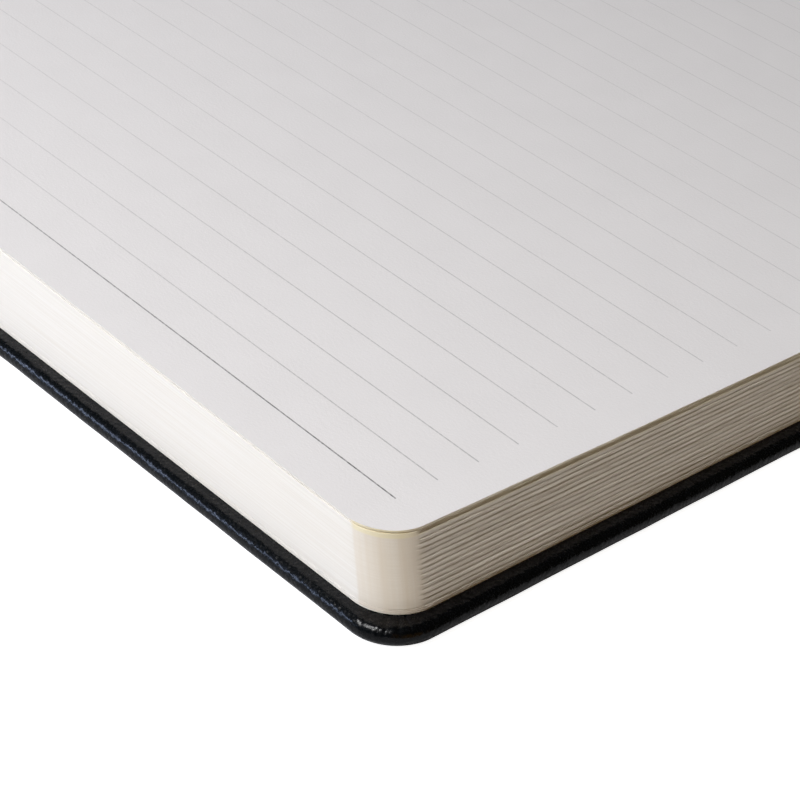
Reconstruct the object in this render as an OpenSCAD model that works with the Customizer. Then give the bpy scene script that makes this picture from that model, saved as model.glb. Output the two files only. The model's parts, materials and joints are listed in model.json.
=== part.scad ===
// Hardcover notebook, lying open at its first ruled page.
// The whole book block lies on the back cover, and the front cover is swung
// open, with its free edge on the table. Millimetres, +Z up, +X from the spine
// to the fore edge, +Y from the foot to the head. The origin is the centre of
// the back cover's outer face, on the table.

/* [Pages] */
// Width of a page
page_w = 145; // [100:1:200]
// Height of a page
page_h = 210; // [150:1:300]
// Radius of the pages' two outer corners
page_corner_r = 5.8; // [3:0.1:12]
// Thickness of the book block at the middle of the fore edge
block_t = 7.9; // [4:0.1:20]
// How much thicker the block is at its head and foot than half way between them
end_lift = 1.5; // [0:0.1:3]
// How much thicker the block is at the spine than at the fore edge
spine_rise = 3.4; // [0.5:0.1:5]
// How far the first leaf lies nearer the spine than the last, as the open block leans
block_lean = 2.1; // [0.2:0.1:4]

/* [Sewn sections] */
// Number of folded sections of leaves sewn into the block
sections = 16; // [6:1:24]
// Depth of the groove between two sections at the fore edge
groove_d = 0.3; // [0.1:0.05:0.6]
// Width of that groove, as a share of a section's thickness
groove_share = 0.5; // [0.2:0.05:0.8]
// Share of a section's thickness that the last section lacks and the first gains
section_shift = 0.28; // [0:0.01:0.4]

/* [Cover] */
// How far the cover stands out beyond the pages at the head and the foot
square = 2.1; // [1:0.1:5]
// How far it stands out beyond them at the fore edge
fore_square = 2.35; // [1:0.05:5]
// Radius of the cover's outer corners
cover_corner_r = 6.4; // [4:0.1:14]
// Thickness of a cover board
board_t = 1.9; // [1:0.1:3]
// Thickness of the leatherette that wraps the boards
wrap_t = 0.25; // [0.15:0.05:0.4]
// Width of the leatherette turned in over the inner faces
turn_in = 15; // [8:1:25]
// Distance from the block's spine to the edge of the cover board
board_setback = 5; // [3:0.5:9]
// Thickness of the card in the spine
spine_strip_t = 1.4; // [0.8:0.1:2.5]
// Bare leatherette between the spine card's long edges and the fold
spine_strip_edge = 1.2; // [0.8:0.1:3]

/* [Endpapers and lining] */
// Thickness of the endpaper
endpaper_t = 0.15; // [0.1:0.01:0.25]
// How far the pasted endpaper's edge lies inside the pages' edge
pastedown_inset = 1; // [0.5:0.1:4]
// Thickness of the cloth glued on the block's spine
lining_t = 0.35; // [0.2:0.05:0.8]
// How far the lining stops short of the head and the foot
lining_inset = 2; // [0:0.5:10]

/* [Clearances] */
// Gap between the pasted endpaper and the loose leaf on it
leaf_gap = 0.1; // [0.05:0.05:0.3]
// Glue line between the block and its lining
glue_gap = 0.05; // [0.05:0.05:0.2]
// Gap between the spine card's covering and the lining
hollow_gap = 0.5; // [0.3:0.1:2]
// Gap between the highest page and the closed front cover
closed_gap = 0.3; // [0.2:0.1:1]
// Leatherette left free on each side of a fold line
fold_gap = 0.2; // [0.15:0.05:0.4]

/* [Hidden] */

leatherette = "#1d1d20";
ivory = "#e9e4da";
page_white = "#e2dedb";
greyboard = "#8d8a84";
lining_white = "#efeee8";

corner_steps = 7;        // facets round a corner
edge_steps = 8;          // facets along a curved fore edge or spine
round_steps = 8;         // facets round a cover's edge
bore_fn = 32;            // facets round the spine's rounded ends
overcut = 1;             // how far a cut runs past the face it opens

// The cover's section, from its outer face up: leatherette, board, leatherette
cover_t = board_t + 2 * wrap_t;
edge_r = cover_t / 2;
board_top = wrap_t + board_t;
pastedown_top = cover_t + endpaper_t;
leaf_bottom = pastedown_top + leaf_gap;
leaf_top = leaf_bottom + endpaper_t;

// The cover's outline, in its own frame: X from the board's spine edge
cover_w = page_w + fore_square - board_setback;
cover_h = page_h + 2 * square;
pastedown_w = cover_w - fore_square - pastedown_inset;
pastedown_h = page_h - 2 * pastedown_inset;

// Where the parts stand
back_board_x = -cover_w / 2;
spine_x = back_board_x - board_setback;
first_leaf_fore_x = spine_x + page_w - block_lean;

// The spine leans as the block does, about the fold behind its lower edge
lean = atan(block_lean / (block_t + spine_rise));
spine_unit_t = spine_strip_t + 2 * wrap_t;
fold_z = wrap_t / 2;
spine_unit_reach = (glue_gap + lining_t + hollow_gap + spine_unit_t - fold_z) / cos(lean);
back_fold_x = spine_x - spine_unit_reach + (leaf_top - fold_z) * tan(lean);
joint_w = back_board_x - back_fold_x;

// The closed front cover lies parallel to the pages, just above their highest line
page_slope = atan(spine_rise / page_w);
highest_page_z = leaf_top + block_t + end_lift;
closed_stack = (closed_gap + leaf_top - fold_z) / cos(page_slope);
fold_rise = (highest_page_z + closed_stack - fold_z
             + tan(page_slope) * (first_leaf_fore_x - back_fold_x))
            / (1 - tan(page_slope) * tan(lean));
spine_w = fold_rise / cos(lean);
front_fold_x = back_fold_x - fold_rise * tan(lean);
front_fold_z = fold_z + fold_rise;

// The open front cover slopes down until its rounded fore edge meets the table
reach_to_edge = joint_w + cover_w - edge_r;
edge_offset = edge_r - fold_z;
open_slope = asin((front_fold_z - edge_r) / norm([reach_to_edge, edge_offset]))
             + atan(edge_offset / reach_to_edge);
closing_angle = 180 + open_slope + page_slope;
echo(back_fold = [back_fold_x, fold_z], front_fold = [front_fold_x, front_fold_z],
     closing_angle = closing_angle, cover = [cover_w, cover_h, cover_t]);

// Places along the height of an outline with rounded outer corners, foot to head
function heights(h, r) = concat(
    [for (i = [0 : corner_steps]) -h / 2 + r * (1 - cos(90 * i / corner_steps))],
    [for (i = [1 : edge_steps - 1]) -h / 2 + r + (h - 2 * r) * i / edge_steps],
    [for (i = [corner_steps : -1 : 0]) h / 2 - r * (1 - cos(90 * i / corner_steps))]);

// How far a rounded corner draws the fore edge in at height y
function corner_draw(y, h, r) =
    let (past = max(0, abs(y) - (h / 2 - r))) r - sqrt(max(0, r * r - past * past));

// An outline with a straight spine side and rounded fore corners, once round
function leaf_outline(w, h, r) =
    let (ys = heights(h, r), n = len(ys))
    concat([for (y = ys) [w - corner_draw(y, h, r), y]],
           [for (i = [n - 1 : -1 : 0]) [0, ys[i]]]);

// A closed skin over rings that each hold one fore side and one spine side
module ring_loft(rings) {
    n = len(rings[0]);
    half = n / 2;
    last = (len(rings) - 1) * n;
    walls = [for (k = [0 : len(rings) - 2], i = [0 : n - 1])
             let (a = k * n + i, b = k * n + (i + 1) % n) each [[a, a + n, b], [b, a + n, b + n]]];
    floor_faces = [for (i = [0 : half - 2]) each
             [[i, i + 1, n - 1 - i], [i + 1, n - 2 - i, n - 1 - i]]];
    roof_faces = [for (i = [0 : half - 2]) each
             [[last + i, last + n - 1 - i, last + i + 1],
              [last + i + 1, last + n - 1 - i, last + n - 2 - i]]];
    polyhedron(points = [for (ring = rings) each ring],
               faces = concat(walls, floor_faces, roof_faces), convexity = 6);
}

// A plate in the cover's frame whose fore, head and foot edges are rounded
module rounded_plate(inset, z, t) {
    r = t / 2;
    ring_loft([for (i = [0 : round_steps])
        let (a = -90 + 180 * i / round_steps, draw = inset + r * (1 - cos(a)))
        [for (p = leaf_outline(cover_w - draw, cover_h - 2 * draw, cover_corner_r - draw))
            [p[0], p[1], z + r + r * sin(a)]]]);
}

// A flat sheet in the cover's frame with rounded fore corners
module sheet(w, h, r, z, t) {
    translate([0, 0, z]) linear_extrude(t) polygon(leaf_outline(w, h, r));
}

// Thickness of the block over a point of a page
function block_height(x, y) =
    block_t + end_lift * pow(2 * y / page_h, 2) + spine_rise * (1 - x / page_w);

// Point of the block at the share t of its thickness, drawn in by a groove
function block_point(p, t, groove) =
    let (facing = p[0] == 0 ? 0
                : 1 - corner_draw(p[1], page_h, page_corner_r) / page_corner_r)
    [spine_x + p[0] - block_lean * t - groove * facing, p[1],
     leaf_top + t * block_height(p[0], p[1])];

module text_block() {
    outline = leaf_outline(page_w, page_h, page_corner_r);
    half_groove = groove_share / sections / 2;
    grooves = [for (k = [1 : sections - 1]) (k - section_shift) / sections];
    levels = concat([[0, 0]],
        [for (g = grooves) each [[g - half_groove, 0], [g, groove_d], [g + half_groove, 0]]],
        [[1, 0]]);
    color(page_white)
        ring_loft([for (v = levels) [for (p = outline) block_point(p, v[0], v[1])]]);
}

// Cloth glued down the back of the block, following its lean
module spine_lining() {
    h = page_h - 2 * lining_inset;
    function band(y, x, t) = block_point([0, y], t, 0) - [x, 0, 0];
    ys = [for (i = [0 : edge_steps]) -h / 2 + h * i / edge_steps];
    inner = glue_gap;
    outer = glue_gap + lining_t;
    points = [for (y = ys) each
        [band(y, inner, 0), band(y, inner, 1), band(y, outer, 1), band(y, outer, 0)]];
    last = 4 * edge_steps;
    sides = [for (i = [0 : edge_steps - 1], j = [0 : 3])
        let (a = 4 * i + j, b = 4 * i + (j + 1) % 4) each [[a, b, a + 4], [b, b + 4, a + 4]]];
    color(lining_white)
        polyhedron(points = points, convexity = 2, faces = concat(sides,
            [[0, 3, 1], [1, 3, 2], [last, last + 1, last + 3], [last + 1, last + 2, last + 3]]));
}

// The last leaf, under the block and hinged with it
module back_flyleaf() {
    color(ivory) translate([spine_x, 0, 0])
        sheet(page_w, page_h, page_corner_r, leaf_bottom, endpaper_t);
}

// Frame of the spine: X from its outer face inwards, Z from the lower fold to the upper
module on_spine() {
    translate([back_fold_x, 0, fold_z]) rotate([0, -lean, 0]) translate([-wrap_t / 2, 0, 0])
        children();
}

// A bar along the spine with rounded head and foot, standing from z to the same below the top
module spine_bar(inset, z) {
    t = spine_unit_t - 2 * inset;
    reach = cover_h / 2 - inset - t / 2;
    translate([inset + t / 2, 0, z]) linear_extrude(spine_w - 2 * z) {
        square([t, 2 * reach], center = true);
        for (side = [-1, 1]) translate([0, side * reach]) circle(d = t, $fn = bore_fn);
    }
}

// Plain card that stiffens the spine
module spine_strip() {
    color(greyboard) on_spine() spine_bar(wrap_t, spine_strip_edge);
}

// Leatherette over the spine: outer sheet, rounded ends and turned-in ends
module spine_covering() {
    sheet_h = cover_h - spine_unit_t;
    color(leatherette) on_spine() {
        difference() {
            spine_bar(0, spine_strip_edge);
            spine_bar(wrap_t, spine_strip_edge - overcut);
            translate([wrap_t + spine_strip_t / 2, turn_in - cover_h / 2, 0])
                cube([spine_unit_t, cover_h - 2 * turn_in, spine_w]);
        }
        translate([0, -sheet_h / 2, fold_gap]) cube([wrap_t, sheet_h, spine_w - 2 * fold_gap]);
    }
}

// The cover's own pieces, drawn in its frame
module board() {
    color(greyboard) rounded_plate(wrap_t, wrap_t, board_t);
}

module covering() {
    strip_w = joint_w - fold_gap;
    strip_h = cover_h - 2 * edge_r;
    color(leatherette) {
        difference() {
            rounded_plate(0, 0, cover_t);
            rounded_plate(wrap_t, wrap_t, board_t);
            translate([-overcut, turn_in - cover_h / 2, edge_r])
                cube([overcut + cover_w - turn_in, cover_h - 2 * turn_in, cover_t]);
        }
        translate([-strip_w, -strip_h / 2, 0]) cube([strip_w, strip_h, wrap_t]);
        for (side = [-1, 1])
            translate([-strip_w, side * (strip_h - turn_in) / 2 - turn_in / 2, 0])
                cube([strip_w, turn_in, 2 * wrap_t]);
    }
}

// Endpaper pasted over the turned-in leatherette and down onto the board
module pastedown() {
    well_w = cover_w - turn_in;
    well_h = cover_h - 2 * turn_in;
    color(ivory) difference() {
        union() {
            sheet(pastedown_w, pastedown_h, page_corner_r, cover_t, endpaper_t);
            translate([0, -well_h / 2, board_top]) cube([well_w, well_h, wrap_t + endpaper_t]);
        }
        translate([-overcut, endpaper_t - well_h / 2, board_top + endpaper_t])
            cube([overcut + well_w - endpaper_t, well_h - 2 * endpaper_t, cover_t]);
    }
}

module on_back() {
    translate([back_board_x, 0, 0]) children();
}

module on_front() {
    translate([front_fold_x, 0, front_fold_z]) rotate([0, -open_slope, 0])
        mirror([1, 0, 0]) translate([joint_w, 0, -fold_z]) children();
}

module back_board() { on_back() board(); }
module back_covering() { on_back() covering(); }
module back_pastedown() { on_back() pastedown(); }
module front_board() { on_front() board(); }
module front_covering() { on_front() covering(); }
module front_pastedown() { on_front() pastedown(); }

// The first leaf, lying back on the open front cover
module front_flyleaf() {
    color(ivory) on_front()
        sheet(cover_w - fore_square, page_h, page_corner_r, leaf_bottom, endpaper_t);
}

text_block();
spine_lining();
back_flyleaf();
spine_strip();
spine_covering();
back_board();
back_covering();
back_pastedown();
front_board();
front_covering();
front_pastedown();
front_flyleaf();
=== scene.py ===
import json
from math import acos, asin, atan2, pi, radians, tan

import bpy
import numpy as np
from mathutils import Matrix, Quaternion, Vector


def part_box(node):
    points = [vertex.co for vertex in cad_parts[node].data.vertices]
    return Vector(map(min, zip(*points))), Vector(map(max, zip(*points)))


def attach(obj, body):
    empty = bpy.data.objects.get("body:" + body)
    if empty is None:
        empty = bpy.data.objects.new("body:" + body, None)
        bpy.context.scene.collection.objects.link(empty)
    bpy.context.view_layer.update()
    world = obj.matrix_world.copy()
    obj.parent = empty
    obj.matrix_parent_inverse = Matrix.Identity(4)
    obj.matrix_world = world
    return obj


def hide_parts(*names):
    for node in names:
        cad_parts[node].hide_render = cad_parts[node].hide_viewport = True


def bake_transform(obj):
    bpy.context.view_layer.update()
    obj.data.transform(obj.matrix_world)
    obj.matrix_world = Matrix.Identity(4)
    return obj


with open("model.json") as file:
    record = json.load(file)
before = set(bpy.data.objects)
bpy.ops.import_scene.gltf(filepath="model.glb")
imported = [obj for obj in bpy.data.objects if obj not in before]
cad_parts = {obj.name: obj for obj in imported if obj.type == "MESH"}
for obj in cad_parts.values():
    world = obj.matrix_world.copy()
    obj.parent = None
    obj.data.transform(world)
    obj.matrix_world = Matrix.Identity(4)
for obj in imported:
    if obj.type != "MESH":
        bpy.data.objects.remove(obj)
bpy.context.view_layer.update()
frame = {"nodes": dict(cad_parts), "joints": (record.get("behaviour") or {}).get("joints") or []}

MM = 0.001

# The book block: sections of thin writing paper, folded, sewn through their folds and
# trimmed on three sides. Its leaves lean towards the spine as the book lies open, and
# it stands thicker at the head and foot, where nothing presses the leaves together.
PAGE_CORNER_R = 5.8 * MM
END_LIFT = 1.5 * MM
SPINE_RISE = 3.4 * MM
BLOCK_LEAN = 2.1 * MM
leaf_low, leaf_high = (np.array(corner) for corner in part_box("back_flyleaf"))
SPINE_X, FORE_X, BLOCK_BOTTOM = leaf_low[0], leaf_high[0], leaf_high[2]
PAGE_W, PAGE_H = FORE_X - SPINE_X, leaf_high[1] - leaf_low[1]
BLOCK_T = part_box("text_block")[1][2] - BLOCK_BOTTOM - END_LIFT - SPINE_RISE


def leaf_grid(width, height, radius, corner_steps, side_steps, shares):
    """Grid over a leaf. Rows run from foot to head, close together round the corners.
    Columns stand at the given shares of the way from the spine to the fore edge, which a
    row past a corner's centre reaches at width - r + sqrt(r^2 - past^2)."""
    arc = radius * (1 - np.cos(np.linspace(0, pi / 2, corner_steps + 1)))
    side = np.linspace(radius - height / 2, height / 2 - radius, side_steps + 1)[1:-1]
    y = np.concatenate([arc - height / 2, side, (height / 2 - arc)[::-1]])
    past = np.clip(np.abs(y) - (height / 2 - radius), 0, radius)
    reach = width - radius + np.sqrt(radius ** 2 - past ** 2)
    return shares[None] * reach[:, None], np.repeat(y[:, None], len(shares), axis=1)


def three_sides(grid):
    """The values along a grid's foot, fore edge and head."""
    return np.concatenate([grid[0], grid[1:, -1], grid[-1, -2::-1]])


def all_round(grid):
    """The values along a grid's foot, fore edge, head and spine."""
    return np.concatenate([three_sides(grid), grid[-2:0:-1, 0]])


def quads(ids, closed=False):
    """Faces between the neighbours in a table of vertex numbers. A closed table also
    joins its last column to its first."""
    if closed:
        ids = np.concatenate([ids, ids[:, :1]], axis=1)
    return np.stack([ids[:-1, :-1], ids[:-1, 1:], ids[1:, 1:], ids[1:, :-1]], axis=-1).reshape(-1, 4)


def add_piece(name, points, faces, materials, face_material=None, uv=None, crease=40):
    """A mesh object at the origin, smooth but for edges sharper than crease degrees."""
    mesh = bpy.data.meshes.new(name)
    mesh.from_pydata(np.asarray(points).reshape(-1, 3).tolist(), [], np.asarray(faces).tolist())
    for material in materials:
        mesh.materials.append(material)
    if face_material is not None:
        mesh.polygons.foreach_set("material_index", np.asarray(face_material, dtype=np.int32))
    if uv is not None:
        corner = np.empty(len(mesh.loops), dtype=np.int32)
        mesh.loops.foreach_get("vertex_index", corner)
        layer = mesh.uv_layers.new(name="surface")
        layer.data.foreach_set("uv", np.asarray(uv, dtype=np.float32)[corner].ravel())
    mesh.shade_smooth()
    mesh.set_sharp_from_angle(angle=radians(crease))
    piece = bpy.data.objects.new(name, mesh)
    bpy.context.scene.collection.objects.link(piece)
    return piece


# Off-white uncoated writing paper, made on a wire and lightly rolled: matt, with a fine
# tooth that catches a low light. The rules are printed in thin grey ink, the outer two
# darker than the rest. The plate pressed hardest at the outer corner of the foot.
RULE_PITCH = 6 * MM
RULE_W = 0.18 * MM
FIRST_RULE_Y = leaf_low[1] + 6.36 * MM
LAST_RULE = 32
RULE_END_X = FORE_X - BLOCK_LEAN - 5.1 * MM
RULE_START_X = SPINE_X + 6 * MM
PRESSED_REACH = 90 * MM     # from that corner, the way over which the rules grow paler
INK_THERE, INK_AWAY = 0.46, 0.17
OUTER_INK_THERE, OUTER_INK_AWAY = 0.46, 0.40    # what the outer two have on top of it
CLOUD, INK_GAP = 7 * MM, 0.4 * MM
TOOTH = 0.35 * MM           # coarser than the real fibres, so that it shows


def linear(code):
    """An sRGB hex colour as linear red, green, blue and alpha."""
    s = np.array([int(code[i:i + 2], 16) for i in (1, 3, 5)]) / 255
    return (*np.where(s > 0.04045, ((s + 0.055) / 1.055) ** 2.4, s / 12.92), 1.0)


def output(node):
    """The first of a node's outputs that its settings leave in use."""
    return next(socket for socket in node.outputs if socket.enabled)


def add(tree, kind, inputs=(), **settings):
    """A node of that kind with its settings. Its inputs, by name or in their order, are set
    to a value, or linked to a socket or to another node's output."""
    made = tree.nodes.new("ShaderNode" + kind)
    for name, value in settings.items():
        setattr(made, name, value)
    for name, value in inputs.items() if isinstance(inputs, dict) else enumerate(inputs):
        if isinstance(value, bpy.types.Node):
            value = output(value)
        if isinstance(value, bpy.types.NodeSocket):
            tree.links.new(value, made.inputs[name])
        else:
            made.inputs[name].default_value = value
    return made


def start_material(name, roughness, specular):
    """A new material, its node tree, its shader and its Object coordinates."""
    material = bpy.data.materials.new(name)
    material.use_nodes = True
    tree = material.node_tree
    shader = tree.nodes["Principled BSDF"]
    shader.inputs["Roughness"].default_value = roughness
    shader.inputs["Specular IOR Level"].default_value = specular
    return material, tree, shader, add(tree, "TexCoord").outputs["Object"]


def finish_material(tree, shader, colour, relief, strength, depth):
    """The shader gets its colour, and small relief of that depth."""
    bump = add(tree, "Bump", {"Height": relief, "Strength": strength, "Distance": depth})
    tree.links.new(output(colour), shader.inputs["Base Color"])
    tree.links.new(output(bump), shader.inputs["Normal"])


def writing_paper():
    material, tree, shader, place = start_material("ruled_uncoated_writing_paper", 0.85, 0.25)
    axes = add(tree, "SeparateXYZ", [place])
    count = add(tree, "Math", [axes.outputs["Y"], FIRST_RULE_Y], operation="SUBTRACT")
    count = add(tree, "Math", [count, RULE_PITCH], operation="DIVIDE")
    nearest = add(tree, "Math", [count], operation="ROUND")
    off = add(tree, "Math", [count, nearest], operation="SUBTRACT")
    off = add(tree, "Math", [off], operation="ABSOLUTE")
    off = add(tree, "Math", [off, RULE_PITCH], operation="MULTIPLY")
    line = add(tree, "MapRange", [off, 0.35 * RULE_W, 0.65 * RULE_W, 1.0, 0.0])
    from_middle = add(tree, "Math", [nearest, LAST_RULE / 2], operation="SUBTRACT")
    from_middle = add(tree, "Math", [from_middle], operation="ABSOLUTE")
    inside = add(tree, "Math", [from_middle, LAST_RULE / 2 + 0.5], operation="LESS_THAN")
    outer = add(tree, "Math", [from_middle, LAST_RULE / 2 - 0.5], operation="GREATER_THAN")
    before_end = add(tree, "Math", [axes.outputs["X"], RULE_END_X], operation="LESS_THAN")
    past_start = add(tree, "Math", [axes.outputs["X"], RULE_START_X], operation="GREATER_THAN")
    gaps = add(tree, "TexNoise", {"Vector": place, "Scale": 1 / INK_GAP})
    worn = add(tree, "MapRange", [gaps, 0.25, 0.6, 0.55, 1.0])
    corner = (RULE_END_X, FIRST_RULE_Y, BLOCK_BOTTOM + BLOCK_T)
    reach = add(tree, "VectorMath", [place, corner], operation="DISTANCE")
    ink = add(tree, "MapRange", [reach, 0.0, PRESSED_REACH, INK_THERE, INK_AWAY])
    outer_ink = add(tree, "MapRange", [reach, 0.0, PRESSED_REACH, OUTER_INK_THERE, OUTER_INK_AWAY])
    outer_ink = add(tree, "Math", [outer, outer_ink], operation="MULTIPLY")
    ink = add(tree, "Math", [ink, outer_ink], operation="ADD")
    for share in (before_end, past_start, inside, line, worn):
        ink = add(tree, "Math", [ink, share], operation="MULTIPLY")
    cloud = add(tree, "TexNoise", {"Vector": place, "Scale": 1 / CLOUD, "Detail": 4.0})
    sheet = add(tree, "Mix", {0: cloud, 6: linear("#e3dfdf"), 7: linear("#e9e5e5")}, data_type="RGBA")
    printed = add(tree, "Mix", {0: ink, 6: sheet, 7: linear("#4b4a4c")}, data_type="RGBA")
    tooth = add(tree, "TexNoise", {"Vector": place, "Scale": 1 / TOOTH, "Detail": 3.0, "Roughness": 0.65})
    finish_material(tree, shader, printed, tooth, 0.6, 0.05 * MM)
    return material


# The same paper at its cut edges: creamier, because light sinks in between the leaves,
# and streaked along them. The knife that rounded the corners left marks across the
# leaves there, over a darker tint that is painted shade. The grooves between sections and
# the steps between end leaves get painted shade; the first section is yellower.
LEAF_T = 0.2 * MM           # two leaves, the finest step that still shows
STREAK_L = 25 * MM
MARK_W, MARK_L = 1.1 * MM, 40 * MM
FIRST_SECTION = (0.89, 0.91)    # shares of the block's thickness between which it begins


def cut_edges():
    material, tree, shader, _ = start_material("trimmed_leaf_edges", 0.9, 0.2)
    along = add(tree, "UVMap", uv_map="surface")
    lie = add(tree, "Mapping", {"Vector": along, "Scale": (1 / STREAK_L, 1 / LEAF_T, 1.0)})
    leaves = add(tree, "TexNoise", {"Vector": lie, "Scale": 1.0, "Detail": 3.0, "Roughness": 0.6})
    cut = add(tree, "Mapping", {"Vector": along, "Scale": (1 / MARK_W, 1 / MARK_L, 1.0)})
    marks = add(tree, "TexNoise", {"Vector": cut, "Scale": 1.0, "Detail": 3.0, "Roughness": 0.65})
    towards_fore = add(tree, "Attribute", attribute_name="outwards").outputs["Fac"]
    groove = add(tree, "Attribute", attribute_name="groove").outputs["Fac"]

    # Painted shade: the rounded corners, which turn away from the light, get a darker tint, broken up by
    # the knife marks.
    past_foot = add(tree, "MapRange", [towards_fore, 0.13, 0.18, 0.0, 1.0])
    before_fore = add(tree, "MapRange", [towards_fore, 0.99, 1.0, 1.0, 0.0])
    rounded = add(tree, "Math", [past_foot, before_fore], operation="MULTIPLY")
    knife_marks_and_painted_shade = add(tree, "MapRange", [marks, 0.35, 0.7, 0.45, 1.0])
    knife_marks_and_painted_shade = add(tree, "Math", [knife_marks_and_painted_shade, rounded], operation="MULTIPLY")

    height = add(tree, "SeparateXYZ", [along]).outputs["Y"]
    begins = [share * (BLOCK_T + END_LIFT) for share in FIRST_SECTION]
    aged = add(tree, "MapRange", [height, *begins, 0.0, 0.7])
    past_foot = add(tree, "MapRange", [towards_fore, 0.1, 0.2, 0.0, 1.0])
    less_at_fore = add(tree, "MapRange", [towards_fore, 0.9, 1.0, 1.0, 0.4])
    for share in (past_foot, less_at_fore):
        aged = add(tree, "Math", [aged, share], operation="MULTIPLY")

    streaks = add(tree, "MapRange", [leaves, 0.3, 0.7, 0.0, 1.0])
    # Painted shade: brown where the edge sinks into a groove between sections or lies under a step between
    # end leaves.
    painted_groove_shade = add(tree, "Math", [groove, 0.3], operation="MULTIPLY")
    paper = add(tree, "Mix", {0: streaks, 6: linear("#e6ded2"), 7: linear("#eee8df")}, data_type="RGBA")
    for share, colour in ((knife_marks_and_painted_shade, "#e2d6c5"), (aged, "#ece0ba"), (painted_groove_shade, "#8f7a60")):
        paper = add(tree, "Mix", {0: share, 6: paper, 7: linear(colour)}, data_type="RGBA")
    finish_material(tree, shader, paper, leaves, 0.25, 0.05 * MM)
    return material


# The block's trimmed edges: the sections stand out a little between fine grooves in the
# fore edge, and the first and last few leaves lie in small steps. The last leaves' edges
# sink past the pasted endpaper's edge. The knife's cut strays by hundredths of a millimetre.
SECTIONS = 16
SECTION_SHIFT = 0.28        # share of a section that the last one lacks
GROOVE_D = 0.20 * MM
EDGE_SAG, SAG_REACH = 0.21 * MM, 1.0 * MM
WAVE = 0.012 * MM
NEAR_EDGE = np.array([2.5, 1.6, 1.1, 0.8, 0.5, 0.25, 0]) * MM / PAGE_W
EDGE_SHARES = np.append(np.linspace(0, 1 - NEAR_EDGE[0], 22), 1 - NEAR_EDGE[1:])


def block_levels():
    """Rows up the block: share of its thickness, depth of a section's groove (only in the
    fore edge) and depth of the steps between its last and first leaves (all round)."""
    across = np.array([0.0, 0.06, 0.13, 0.22, 0.4, 0.62, 0.78, 0.87, 0.94])
    depth = np.array([1.0, 0.75, 0.3, 0.04, 0.0, 0.0, 0.04, 0.3, 0.75])
    share = (np.arange(1, SECTIONS - 1)[:, None] - SECTION_SHIFT + across[None]) / SECTIONS
    depth = np.repeat(depth[None], SECTIONS - 2, axis=0)
    rows = [np.stack([share, depth * GROOVE_D, 0 * share], axis=-1).reshape(-1, 3)]
    last = [(0.0, 0, 0.02), (0.008, 0, 0), (0.016, 0, 0), (0.019, 0, 0.07), (0.022, 0, 0.01),
            (0.033, 0, 0), (0.036, 0, 0.08), (0.039, 0, 0.02), (0.041, 0.2, 0)]
    first = [(0.915, 0.1, 0), (0.925, 0.6, 0), (0.932, 1.0, 0), (0.941, 1.1, 0), (0.948, 0.6, 0),
             (0.953, 0.1, 0), (0.956, 0, 0), (0.960, 0, 0.12), (0.966, 0, 0.18), (0.971, 0, 0.12),
             (0.974, 0, 0), (0.985, 0, -0.02), (1.0, 0, -0.02)]
    for ends in (last, first):
        rows.append(np.array(ends) * (1, GROOVE_D, MM))
    table = np.concatenate(rows)
    return table[np.argsort(table[:, 0], kind="stable")].T


def smooth_step(value, low, high):
    """0 below low, 1 above high, and s * s * (3 - 2 s) between."""
    s = np.clip((value - low) / (high - low), 0, 1)
    return s * s * (3 - 2 * s)


def edge_sag(x, y):
    """How far a leaf that lies on the pasted endpaper sinks at (x, y), close to its edge.
    Distance from the edge = r - how far (x, y) lies past the corner circles' centres."""
    past_x = np.maximum(x - (PAGE_W - PAGE_CORNER_R), 0)
    past_y = np.maximum(np.abs(y) - (PAGE_H / 2 - PAGE_CORNER_R), 0)
    inwards = PAGE_CORNER_R - np.hypot(past_x, past_y)
    return EDGE_SAG * (1 - smooth_step(inwards, 0.0, SAG_REACH))


def block_points(x, y, share):
    """The point of the block over (x, y) of a leaf, at that share of its thickness.
    Thickness = middle + end lift * (2 y / height)^2 + spine rise * (1 - x / width)."""
    thickness = BLOCK_T + END_LIFT * (2 * y / PAGE_H) ** 2 + SPINE_RISE * (1 - x / PAGE_W)
    sag = edge_sag(x, y) * np.clip(1 - share / 0.12, 0, 1) ** 2
    return np.stack([SPINE_X + x - BLOCK_LEAN * share, y, BLOCK_BOTTOM + share * thickness - sag], axis=-1)


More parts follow.
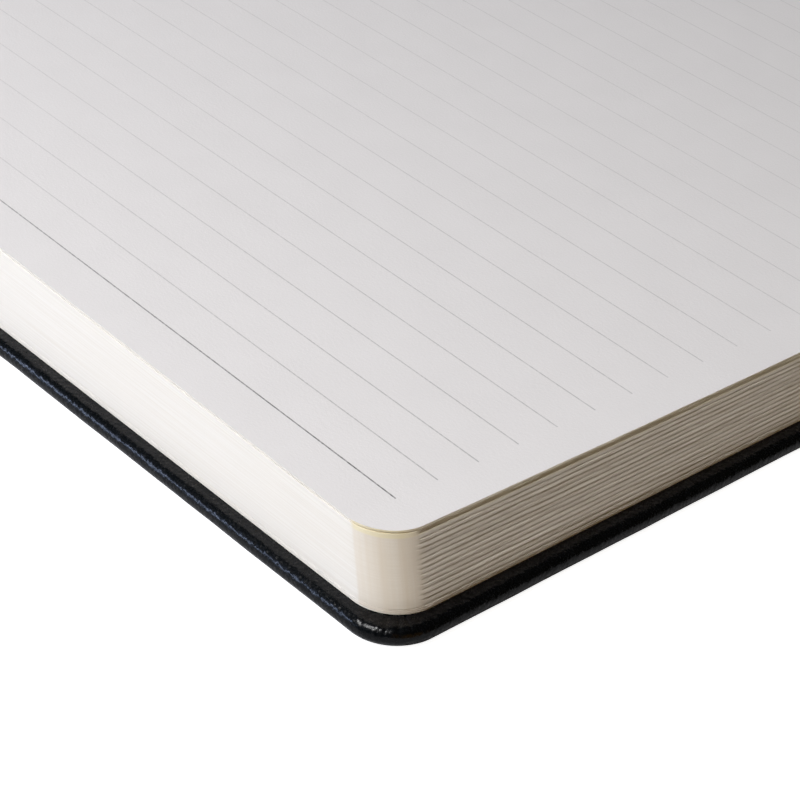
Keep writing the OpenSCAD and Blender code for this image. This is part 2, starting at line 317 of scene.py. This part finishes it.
def book_block():
    """Walls ring by ring up the block's rim, with a face on top and one below. Each ring is
    drawn in from the rim by its groove, where the wall looks to the fore, plus its step,
    plus slow sine waves of random size and phase."""
    x, y = leaf_grid(PAGE_W, PAGE_H, PAGE_CORNER_R, corner_steps=18, side_steps=110, shares=EDGE_SHARES)
    rim_x, rim_y = all_round(x), all_round(y)
    step_x, step_y = np.roll(rim_x, -1) - np.roll(rim_x, 1), np.roll(rim_y, -1) - np.roll(rim_y, 1)
    length = np.hypot(step_x, step_y)
    out_x, out_y = step_y / length, -step_x / length
    facing = smooth_step(out_x, 0.985, 1.0)
    trimmed = np.where(rim_x < 0.5 * MM, 0.0, 1.0)
    run = np.cumsum(np.hypot(rim_x - np.roll(rim_x, 1), rim_y - np.roll(rim_y, 1)))
    share, groove, step = block_levels()
    chance = np.random.default_rng(7)
    rows, count = len(share), len(rim_x)
    waves = np.repeat(chance.normal(0, WAVE, rows)[:, None], count, axis=1)
    for wave_length in (9 * MM, 23 * MM, 60 * MM):
        phase = chance.uniform(0, 2 * pi, rows)[:, None]
        size = chance.normal(0, WAVE, rows)[:, None]
        waves += size * np.sin(2 * pi * run[None] / wave_length + phase)
    draw = (groove[:, None] + waves) * facing[None] + (step[:, None] + 0.15 * waves) * trimmed[None]
    walls = block_points(rim_x - draw * out_x, rim_y - draw * out_y, share[:, None])
    wall_ids = np.arange(rows * count).reshape(rows, count)
    order = all_round(np.arange(x.size).reshape(x.shape))
    points, faces, kinds = [walls.reshape(-1, 3)], [quads(wall_ids, closed=True)], []
    kinds.append(np.ones(len(faces[0]), dtype=int))
    for at, ring, turn in ((1.0, -1, 1), (0.0, 0, -1)):
        ids = np.arange(x.size) + sum(len(p) for p in points)
        ids[order] = wall_ids[ring]
        points.append(block_points(x, y, at).reshape(-1, 3))
        faces.append(quads(ids.reshape(x.shape))[:, ::turn])
        kinds.append(np.zeros(len(faces[-1]), dtype=int))
    points, faces = np.concatenate(points), np.concatenate(faces)
    uv = np.zeros((len(points), 2))
    uv[:rows * count, 0] = np.tile(run, rows)
    uv[:rows * count, 1] = np.repeat(share * (BLOCK_T + END_LIFT), count)
    shade, outwards = np.zeros(len(points)), np.zeros(len(points))
    # The groove attribute is how much painted shade the edge material puts on each point: full in the fore
    # edge's grooves, and under the steps between end leaves.
    shade[:rows * count] = (groove[:, None] / GROOVE_D * facing[None] + 4 * step[:, None] / MM).ravel()
    outwards[:rows * count] = np.tile(out_x, rows)
    used = np.unique(faces)
    renumber = np.zeros(len(points), dtype=int)
    renumber[used] = np.arange(len(used))
    piece = add_piece("sewn_pages", points[used], renumber[faces], (PAPER, EDGES),
                      np.concatenate(kinds), uv[used])
    for name, values in (("groove", np.clip(shade, 0, 1)), ("outwards", outwards)):
        layer = piece.data.attributes.new(name, "FLOAT", "POINT")
        layer.data.foreach_set("value", values[used].astype(np.float32))
    return piece


PAPER, EDGES = writing_paper(), cut_edges()
pages = book_block()
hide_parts("text_block")
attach(pages, "book_block")

# Endpapers: one folded sheet of heavier, smoother ivory paper at each end, half pasted on
# the cover and half loose. The pasted halves are the plain CAD sheets. The loose ones get
# finer corners, and the front one stands a little off the cover in its middle.
ENDPAPER_T = 0.15 * MM
ENDPAPER_CLOUD, ENDPAPER_TOOTH = 3 * MM, 0.3 * MM
FRONT_LEAF_LIFT = 0.5 * MM
BOARD_X, COVER_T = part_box("back_board")[0][0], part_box("back_covering")[1][2]
COVER_W, COVER_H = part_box("back_covering")[1][0] - BOARD_X, 2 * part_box("back_covering")[1][1]
back_fold, front_fold = (np.array(joint["pos_m"])[[0, 2]] for joint in frame["joints"])
CLOTH_T = 2 * back_fold[1]
JOINT_W = BOARD_X - back_fold[0]
EDGE_R = COVER_T / 2
to_edge = np.array([JOINT_W + COVER_W - EDGE_R, EDGE_R - back_fold[1]])
OPEN_SLOPE = asin((front_fold[1] - EDGE_R) / np.hypot(*to_edge)) + atan2(to_edge[1], to_edge[0])


def endpaper_stock():
    material, tree, shader, place = start_material("plain_ivory_endpaper", 0.8, 0.3)
    cloud = add(tree, "TexNoise", {"Vector": place, "Scale": 1 / ENDPAPER_CLOUD, "Detail": 5.0,
                                   "Roughness": 0.6})
    sheet = add(tree, "Mix", {0: cloud, 6: linear("#e6dfd0"), 7: linear("#eee8dc")}, data_type="RGBA")
    tooth = add(tree, "TexNoise", {"Vector": place, "Scale": 1 / ENDPAPER_TOOTH, "Detail": 3.0,
                                   "Roughness": 0.65})
    finish_material(tree, shader, sheet, tooth, 0.3, 0.04 * MM)
    return material


def on_back(x, y, height):
    """A point of the back cover: x from its board's spine edge, height from its outer face."""
    x, y, height = np.broadcast_arrays(x, y, height)
    return np.stack([BOARD_X + x, y, height], axis=-1)


def on_front(x, y, height):
    """The same point of the front cover, which slopes down from its fold at OPEN_SLOPE,
    until its fore edge lies on the table."""
    x, y, height = np.broadcast_arrays(x, y, height)
    away, up = x + JOINT_W, height - back_fold[1]
    return np.stack([front_fold[0] - away * np.cos(OPEN_SLOPE) - up * np.sin(OPEN_SLOPE), y,
                     front_fold[1] - away * np.sin(OPEN_SLOPE) + up * np.cos(OPEN_SLOPE)], axis=-1)


def shell(name, outer, inner, faces, materials, crease=40):
    """A closed sheet between two surfaces that share their faces, with a wall round every
    open edge. The faces look out of the outer surface."""
    outer, inner = outer.reshape(-1, 3), inner.reshape(-1, 3)
    n = len(outer)
    edges = np.concatenate([faces[:, [i, (i + 1) % 4]] for i in range(4)])
    a, b = edges[~np.isin(edges[:, 0] * n + edges[:, 1], edges[:, 1] * n + edges[:, 0])].T
    walls = np.stack([b, a, a + n, b + n], axis=-1)
    return add_piece(name, np.concatenate([outer, inner]),
                     np.concatenate([faces, faces[:, ::-1] + n, walls]), materials, crease=crease)


def loose_leaf(name, place, start, width, lift, turn):
    """A leaf from x = start, raised by lift * (1 - (2 y / height)^2) * sin(pi x / width)^2
    and sinking at its edge. A turn of -1 lists its faces' corners the other way round."""
    x, y = leaf_grid(width, PAGE_H, PAGE_CORNER_R, corner_steps=18, side_steps=30, shares=EDGE_SHARES)
    raised = lift * (1 - (2 * y / PAGE_H) ** 2) * np.sin(pi * x / width) ** 2
    bottom = BLOCK_BOTTOM - ENDPAPER_T + raised - edge_sag(x + PAGE_W - width, y)
    faces = quads(np.arange(x.size).reshape(x.shape))[:, ::turn]
    x = x + start
    return shell(name, place(x, y, bottom + ENDPAPER_T), place(x, y, bottom), faces, [ENDPAPER])


def dress(names, material):
    """CAD pieces that keep their own shape get their material."""
    for name in names:
        materials = frame["nodes"][name].data.materials
        materials.clear()
        materials.append(material)


ENDPAPER = endpaper_stock()
dress(["back_pastedown", "front_pastedown"], ENDPAPER)

last_leaf = loose_leaf("last_leaf", on_back, SPINE_X - BOARD_X, PAGE_W, 0.0, 1)
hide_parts("back_flyleaf")
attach(last_leaf, "book_block")

first_leaf = loose_leaf("first_leaf", on_front, 0.0, FORE_X - BOARD_X, FRONT_LEAF_LIFT, -1)
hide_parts("front_flyleaf")
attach(first_leaf, "front_cover")

# Where an endpaper crosses from cover to block, it follows the cover down into the
# joint and up to the block's edge. It bends there, so it is a strip of its own. The
# front one is creased at the fold.
STRIP_INSET = 1 * MM
JOINT_FLOOR = 0.66 * MM
IN_JOINT = [(0, COVER_T + ENDPAPER_T / 2), (-0.4 * MM, 2.35 * MM), (-0.8 * MM, 1.4 * MM),
            (-0.9 * MM, 0.72 * MM), (-2.0 * MM, JOINT_FLOOR)]
UP_TO_BLOCK = [(-5.0 * MM, JOINT_FLOOR), (-6.1 * MM, 0.8 * MM), (-5.9 * MM, 2.1 * MM)]
FLOOR_END = (-4.4 * MM, JOINT_FLOOR)
BEFORE_FOLD = np.array([-0.35, 0.6]) * MM
OVER_STRIP = np.array([(0.5, -0.1), (0.72, -0.5), (0.95, -0.8), (1.75, -0.78), (2.4, -1.3)]) * MM
UNDER_PAGE = np.array([-0.25, 0.9]) * MM


def rounded_path(corners, rounds=4):
    """A path with its corners cut off again and again, a quarter from each side."""
    path = np.asarray(corners, dtype=float)
    for _ in range(rounds):
        near, far = 0.75 * path[:-1] + 0.25 * path[1:], 0.25 * path[:-1] + 0.75 * path[1:]
        cuts = np.stack([near, far], axis=1).reshape(-1, path.shape[1])
        path = np.concatenate([path[:1], cuts, path[-1:]])
    return path


def hinge_paper(name, path_at, start, end):
    """A strip swept along the spine, its thickness split to both sides of its path.
    The start and end points are not used."""
    y = np.linspace(STRIP_INSET - PAGE_H / 2, PAGE_H / 2 - STRIP_INSET, 41)
    paths = np.stack([path_at(float(at)) for at in y])
    along = np.gradient(paths, axis=1)
    along /= np.linalg.norm(along, axis=-1, keepdims=True)
    side = np.stack([-along[..., 1], along[..., 0]], axis=-1) * ENDPAPER_T / 2

    def surface(path):
        return np.stack([path[..., 0], np.repeat(y[:, None], path.shape[1], axis=1), path[..., 1]], axis=-1)

    faces = quads(np.arange(paths.shape[0] * paths.shape[1]).reshape(paths.shape[:2]))
    strip = shell(name, surface(paths + side), surface(paths - side), faces, [ENDPAPER])
    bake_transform(strip)


def in_plane(points):
    """The X and Z of points in space."""
    return points[..., [0, 2]]


def back_paper_path(_):
    """Off the board, along the joint's floor and up to the last leaf, the same at every y."""
    path = rounded_path([*IN_JOINT, *UP_TO_BLOCK, (SPINE_X - BOARD_X, BLOCK_BOTTOM - ENDPAPER_T / 2)])
    return in_plane(on_back(path[:, 0], 0.0, path[:, 1]))


def front_paper_path(y):
    """Off the board and along the joint's floor to the fold, then over the spine strip and
    up to the first page, whose height changes with y."""
    down = np.array([*IN_JOINT, FLOOR_END])
    joint = in_plane(on_front(down[:, 0], 0.0, down[:, 1]))
    page = in_plane(block_points(0.0, y, 1.0))
    return np.concatenate([rounded_path([*joint, front_fold + BEFORE_FOLD]),
                           rounded_path([*(front_fold + OVER_STRIP), page + UNDER_PAGE, page])])


def lifted(point):
    """A point of the X-Z plane as a point in space."""
    return (float(point[0]), 0.0, float(point[1]))


hinge_paper("back_hinge_paper", back_paper_path, lifted(in_plane(on_back(-4.4 * MM, 0, 0.7 * MM))),
            lifted(in_plane(on_back(-5.6 * MM, 0, 2.4 * MM))))
hinge_paper("front_hinge_paper", front_paper_path, lifted(front_fold + np.array([0.06, 0.26]) * MM),
            lifted(front_fold + np.array([0.09, 0.24]) * MM))

# Lining: an open white cotton cloth, glued down the block's back over the sewing. Its
# threads are drawn coarser than they are, so that the weave shows.
THREAD_STEP = 0.6 * MM


def lining_cloth():
    material, tree, shader, place = start_material("open_woven_lining_cloth", 0.9, 0.15)
    axes = add(tree, "SeparateXYZ", [place])
    threads = []
    for axis in ("Y", "Z"):
        wave = add(tree, "Math", [axes.outputs[axis], pi / THREAD_STEP], operation="MULTIPLY")
        wave = add(tree, "Math", [wave], operation="SINE")
        threads.append(add(tree, "Math", [wave], operation="ABSOLUTE"))
    weave = add(tree, "Math", threads, operation="MAXIMUM")
    cloth = add(tree, "Mix", {0: weave, 6: linear("#cfc8b8"), 7: linear("#f0ede4")}, data_type="RGBA")
    finish_material(tree, shader, cloth, weave, 0.6, 0.08 * MM)
    return material


dress(["spine_lining"], lining_cloth())

# Boards and spine strip: stiff grey card, rolled from the pulp of waste paper, with dark
# flecks of fibre in it. They lie inside the leatherette, so they keep their CAD shape.
PULP, FLECK, CARD_TOOTH = 1.5 * MM, 0.5 * MM, 0.25 * MM


def greyboard():
    material, tree, shader, place = start_material("grey_binders_board", 0.95, 0.1)
    cloud = add(tree, "TexNoise", {"Vector": place, "Scale": 1 / PULP, "Detail": 5.0, "Roughness": 0.7})
    pulp = add(tree, "Mix", {0: cloud, 6: linear("#7d7a74"), 7: linear("#9a968e")}, data_type="RGBA")
    specks = add(tree, "TexNoise", {"Vector": place, "Scale": 1 / FLECK})
    flecks = add(tree, "MapRange", [specks, 0.62, 0.70, 0.0, 1.0])
    card = add(tree, "Mix", {0: flecks, 6: pulp, 7: linear("#55524d")}, data_type="RGBA")
    tooth = add(tree, "TexNoise", {"Vector": place, "Scale": 1 / CARD_TOOTH, "Detail": 3.0,
                                   "Roughness": 0.7})
    finish_material(tree, shader, card, tooth, 0.5, 0.08 * MM)
    return material


dress(["back_board", "front_board", "spine_strip"], greyboard())

# Covers: black imitation leather, glued round the boards and turned in over their inner
# faces. It is drawn tight round the straight edges and gathered into small pleats at
# the rounded corners. Its pressed grain is a net of fine pebbles.
COVER_R = 6.4 * MM
TURN_IN = 15 * MM
PEBBLE, FINE_GRAIN, CREASE = 0.62 * MM, 0.25 * MM, 2.2 * MM
PLEAT_D = 0.13 * MM


def leatherette():
    material, tree, shader, place = start_material("black_pebbled_leatherette", 0.3, 0.22)
    cells = add(tree, "TexVoronoi", {"Vector": place, "Scale": 1 / PEBBLE, "Smoothness": 0.5},
                feature="SMOOTH_F1")
    pebbles = add(tree, "MapRange", [cells, 0.1, 0.6, 1.0, 0.0])
    fine = add(tree, "TexNoise", {"Vector": place, "Scale": 1 / FINE_GRAIN, "Detail": 3.0,
                                  "Roughness": 0.6})
    creases = add(tree, "TexNoise", {"Vector": place, "Scale": 1 / CREASE, "Detail": 3.0,
                                     "Roughness": 0.55})
    grain = pebbles
    for layer, share in ((fine, 0.5), (creases, 1.4)):
        layer = add(tree, "Math", [layer, share], operation="MULTIPLY")
        grain = add(tree, "Math", [grain, layer], operation="ADD")
    sheen = add(tree, "MapRange", [fine, 0.3, 0.7, 0.18, 0.32])
    tree.links.new(output(sheen), shader.inputs["Roughness"])
    black = add(tree, "Mix", {0: pebbles, 6: linear("#020305"), 7: linear("#06070a")}, data_type="RGBA")
    finish_material(tree, shader, black, grain, 0.55, 0.06 * MM)
    return material


EDGE_STEPS = 12


def sheet_levels(radius, layer, insets):
    """Inset from the cover's edge and height from its outer face: half a circle round the
    board's edge, then flat to the turned-in sheet's end. Layer 1 is its inner face."""
    r = radius - layer * CLOTH_T
    angle = np.radians(np.linspace(-90, 90, EDGE_STEPS + 1))
    flat = np.full(len(insets), 2 * radius - layer * CLOTH_T)
    return (np.concatenate([radius - r * np.cos(angle), insets]),
            np.concatenate([radius + r * np.sin(angle), flat]))


def board_skin(name, place, turn):
    """The sheet round a board. Its outer face is a grid; rows of points then go round the
    edge and in over the board. They sink along the normal by the pleats in the corners,
    depth * (1 - |sin(10.5 heading + ...)|^0.6), and by slow sine waves round the edge."""
    grid = dict(corner_steps=72, side_steps=50, shares=np.linspace(0, 1, 41))
    insets = np.append(np.array([1.5, 1.9, 2.4, 3.0, 3.7, 4.8, 7.0, 10.0]) * MM, TURN_IN)
    x, y = leaf_grid(COVER_W - EDGE_R, COVER_H - 2 * EDGE_R, COVER_R - EDGE_R, **grid)
    rim_x, rim_y = three_sides(x), three_sides(y)
    run = np.concatenate([[0], np.cumsum(np.hypot(np.diff(rim_x), np.diff(rim_y)))])
    heading = np.arctan2(np.gradient(rim_y), np.gradient(rim_x))
    off_straight = np.minimum(heading % (pi / 2), pi / 2 - heading % (pi / 2))
    in_corner = smooth_step(off_straight, 0.04, 0.3)
    ridges = np.abs(np.sin(10.5 * heading + 0.9 * np.sin(5 * heading + 1.0))) ** 0.6
    waves = sum(size * MM * np.sin(2 * pi * run / (length * MM) + length)
                for size, length in ((0.014, 6.1), (0.016, 9.7), (0.02, 17.3), (0.02, 31.0)))
    surfaces = []
    for layer in (0, 1):
        inset, height = sheet_levels(EDGE_R, layer, insets)
        rows = [place(x, y, height[0]).reshape(-1, 3)]
        for level in range(1, len(inset)):
            ring_x, ring_y = leaf_grid(COVER_W - inset[level], COVER_H - 2 * inset[level],
                                       max(COVER_R - inset[level], 0.8 * MM), **grid)
            up = min(level / EDGE_STEPS, 1.0)
            pleat = PLEAT_D * smooth_step(up, 0.55, 1.0) * (1 - 0.6 * (inset[level] > 8 * MM))
            uneven = waves * smooth_step(up, 0.0, 0.5) * (up < 1)
            sunk = (pleat * in_corner * (1 - ridges) + uneven) * (layer == 0)
            tilt = -pi / 2 + pi * up
            inwards = sunk * np.cos(tilt)
            side_x, side_y = three_sides(ring_x), three_sides(ring_y)
            rows.append(place(side_x - inwards * np.sin(heading), side_y + inwards * np.cos(heading),
                              height[level] - sunk * np.sin(tilt)))
        surfaces.append(np.concatenate(rows))
    ids = np.arange(x.size).reshape(x.shape)
    count = len(rim_x)
    ring_ids = np.arange((len(inset) - 1) * count).reshape(-1, count) + x.size
    ring_ids = np.concatenate([three_sides(ids)[None], ring_ids])
    faces = np.concatenate([quads(ids)[:, ::-1], quads(ring_ids)])
    return shell(name, *surfaces, faces[:, ::turn], [LEATHERETTE], crease=50)


LEATHERETTE = leatherette()
for name, node, body, place, turn in (
        ("back_cover_skin", "back_covering", "back_cover", on_back, 1),
        ("front_cover_skin", "front_covering", "front_cover", on_front, -1)):
    skin = board_skin(name, place, turn)
    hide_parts(node)
    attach(skin, body)

# Spine and joints: the same sheet of leatherette between the boards. Over the spine it is
# glued to the card strip and rides with the block. Across each joint it is glued to
# nothing but itself, and it bends there at the fold.
SPINE_R = 0.95 * MM         # half the thickness of spine strip and sheet together
SHEET_R = 1.04 * CLOTH_T    # the same in a joint, where only the sheet turned in is left
DRAPE = 1.2 * MM            # the way over which the sheet comes down from a board's edge
SPINE_GAP = 0.6 * MM        # from a fold to where the sheet rises to the spine strip
BEND_R = 0.6 * MM


def channel(name, base, normal, radius):
    """A sheet swept along the X-Z plane from station to station, over the cover's whole
    height, and turned in at both ends. Each station has its half thickness there."""
    insets = np.append(np.array([1.5, 2.4, 4.8]) * MM, TURN_IN)
    middle = np.array([0.03, 0.1, 0.3, 0.5, 0.7, 0.9, 0.97]) * COVER_H - COVER_H / 2
    surfaces = []
    for layer in (0, 1):
        rows = []
        for at, out, r in zip(base, normal, radius):
            inset, height = sheet_levels(r, layer, insets)
            y = np.concatenate([(inset - COVER_H / 2)[::-1], middle, COVER_H / 2 - inset])
            height = np.concatenate([height[::-1], np.full(len(middle), layer * CLOTH_T), height])
            rows.append(np.stack([at[0] + out[0] * height, y, at[1] + out[1] * height], axis=-1))
        surfaces.append(np.stack(rows))
    shape = surfaces[0].shape[:2]
    faces = quads(np.arange(shape[0] * shape[1]).reshape(shape))[:, ::-1]
    return shell(name, *surfaces, faces, [LEATHERETTE], crease=50)


def unit(vector):
    """The vector at length 1."""
    return np.asarray(vector) / np.linalg.norm(vector)


def fold_stations(fold, to_board, board_normal, to_spine):
    """Stations from the board's edge through the joint, round the fold and onto the spine:
    places on the outer face, inner normals and half thicknesses. The bend is an arc that
    touches both sides, its centre at BEND_R / sin(half the angle between them)."""
    half = acos(float(to_board @ to_spine)) / 2
    tangent = BEND_R / tan(half)
    centre = fold + unit(to_board + to_spine) * BEND_R / np.sin(half)
    inside = np.sign((centre - fold) @ (board_normal + spine_normal))
    drape = np.linspace(0, 1, 8)
    joint = np.concatenate([JOINT_W - DRAPE * drape, np.linspace(JOINT_W - DRAPE * 4 / 3, tangent, 6)])
    first, last = atan2(board_normal[1], board_normal[0]), atan2(spine_normal[1], spine_normal[0])
    angles = np.linspace(first, last, 10)[1:-1]
    bend_normal = np.stack([np.cos(angles), np.sin(angles)], axis=-1)
    spine = np.append(tangent, SPINE_GAP * (1 + drape))
    base = np.concatenate([fold + joint[:, None] * to_board, centre - inside * BEND_R * bend_normal,
                           fold + spine[:, None] * to_spine])
    normal = np.concatenate([np.repeat(board_normal[None], len(joint), axis=0), bend_normal,
                             np.repeat(spine_normal[None], len(spine), axis=0)])
    ease = drape * drape * (3 - 2 * drape)
    radius = np.concatenate([EDGE_R + (SHEET_R - EDGE_R) * ease, np.full(6 + len(angles) + 1, SHEET_R),
                             SHEET_R + (SPINE_R - SHEET_R) * ease])
    return base - normal * CLOTH_T / 2, normal, radius


def joint_skin(name, fold, to_board, board_normal, to_spine, turn):
    """The sheet across one joint, round its fold."""
    stations = fold_stations(fold, to_board, board_normal, to_spine)
    skin = channel(name, *(values[::turn] for values in stations))
    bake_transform(skin)


up_spine = unit(front_fold - back_fold)
spine_normal = np.array([up_spine[1], -up_spine[0]])
spine_w = np.linalg.norm(front_fold - back_fold)
stations = np.linspace(2 * SPINE_GAP, spine_w - 2 * SPINE_GAP, 9)
base = back_fold + stations[:, None] * up_spine - spine_normal * CLOTH_T / 2
spine_skin = channel("spine_skin", base, np.repeat(spine_normal[None], 9, axis=0), np.full(9, SPINE_R))
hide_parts("spine_covering")
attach(spine_skin, "book_block")

joint_skin("back_joint_skin", back_fold, np.array([1.0, 0.0]), np.array([0.0, 1.0]),
           up_spine, 1)
front_out = np.array([-np.cos(OPEN_SLOPE), -np.sin(OPEN_SLOPE)])
front_normal = np.array([-np.sin(OPEN_SLOPE), np.cos(OPEN_SLOPE)])
joint_skin("front_joint_skin", front_fold, front_out, front_normal,
           -up_spine, -1)

# Studio: a soft key light over the foot, a low cool window on the left and a weak warm
# lamp on the right, in a dim room. The camera sees the ground as pure white, like a
# cut-out background. Light and reflections come from a plain pale table just under it.
TABLE_Z = -0.1 * MM
HALF_FLOOR = 3.0
floor_paint, tree, shader, _ = start_material("pure_white_ground", 1.0, 0.0)
shader.inputs["Base Color"].default_value = linear("#f2f2f2")
shader.inputs["Emission Color"].default_value = linear("#ffffff")
shader.inputs["Emission Strength"].default_value = 0.95
table_paint, tree, shader, _ = start_material("matt_pale_table", 1.0, 0.0)
shader.inputs["Base Color"].default_value = linear("#cdcdcf")
for name, level, paint in (("floor", 0.0, floor_paint), ("table", TABLE_Z, table_paint)):
    corners = [[x * HALF_FLOOR, y * HALF_FLOOR, level] for x, y in ((-1, -1), (1, -1), (1, 1), (-1, 1))]
    ground = add_piece(name, corners, [[0, 1, 2, 3]], [paint])
    if name == "floor":
        ground.visible_diffuse = ground.visible_glossy = ground.visible_shadow = False
    else:
        ground.visible_camera = False

world = bpy.data.worlds.new("studio")
bpy.context.scene.world = world
world.use_nodes = True
tree = world.node_tree
ray = add(tree, "TexCoord").outputs["Generated"]
to_left = add(tree, "VectorMath", [ray, (-0.7, -0.7, 0.0)], operation="DOT_PRODUCT")
share = add(tree, "MapRange", [to_left, -0.3, 0.9, 0.0, 1.0])
room = add(tree, "Mix", {0: share, 6: linear("#4a442a"), 7: linear("#66787c")}, data_type="RGBA")
tree.links.new(output(room), tree.nodes["Background"].inputs["Color"])
tree.nodes["Background"].inputs["Strength"].default_value = 0.6


def soft_light(name, direction, distance, width, height, power, colour):
    """An oblong area light at that distance from the book's near corner, facing it."""
    lamp = bpy.data.lights.new(name, "AREA")
    lamp.shape = "RECTANGLE"
    lamp.size = width
    lamp.size_y = height
    lamp.energy = power
    lamp.color = linear(colour)[:3]
    holder = bpy.data.objects.new(name, lamp)
    towards = np.array(direction) / np.linalg.norm(direction)
    holder.location = near_corner + towards * distance
    holder.rotation_euler = (pi / 2 - asin(towards[2]), 0, atan2(towards[0], -towards[1]))
    bpy.context.scene.collection.objects.link(holder)


near_corner = np.array([FORE_X, leaf_low[1], COVER_T])
soft_light("key", direction=(-0.16, -0.66, 1.03), distance=0.58, width=0.2, height=0.2,
           power=3.55, colour="#ffffff")
soft_light("window", direction=(-0.57, -0.47, 0.16), distance=0.8, width=0.6, height=0.05,
           power=2.9, colour="#c9daff")
soft_light("fill", direction=(1.0, -0.15, 0.22), distance=1.0, width=0.7, height=0.7,
           power=0.67, colour="#ffba4e")

# Camera, looking down over the near corner from the foot's outer side, rolled a little.
from_corner = np.array([138.9, -137.5, 158.6]) * MM
lens = bpy.data.cameras.new("camera")
lens.sensor_width = 36
lens.lens = 109.0
lens.clip_start = 0.01
camera = bpy.data.objects.new("camera", lens)
bpy.context.scene.collection.objects.link(camera)
camera.location = near_corner + from_corner
camera.rotation_mode = "QUATERNION"
heading, tilt_down, roll = radians(45.57), radians(33.65), radians(5.0)
camera.rotation_quaternion = (Quaternion((0, 0, 1), heading) @ Quaternion((1, 0, 0), pi / 2 - tilt_down)
                              @ Quaternion((0, 0, 1), roll))
bpy.context.scene.camera = camera
bpy.context.scene.view_settings.view_transform = "Standard"
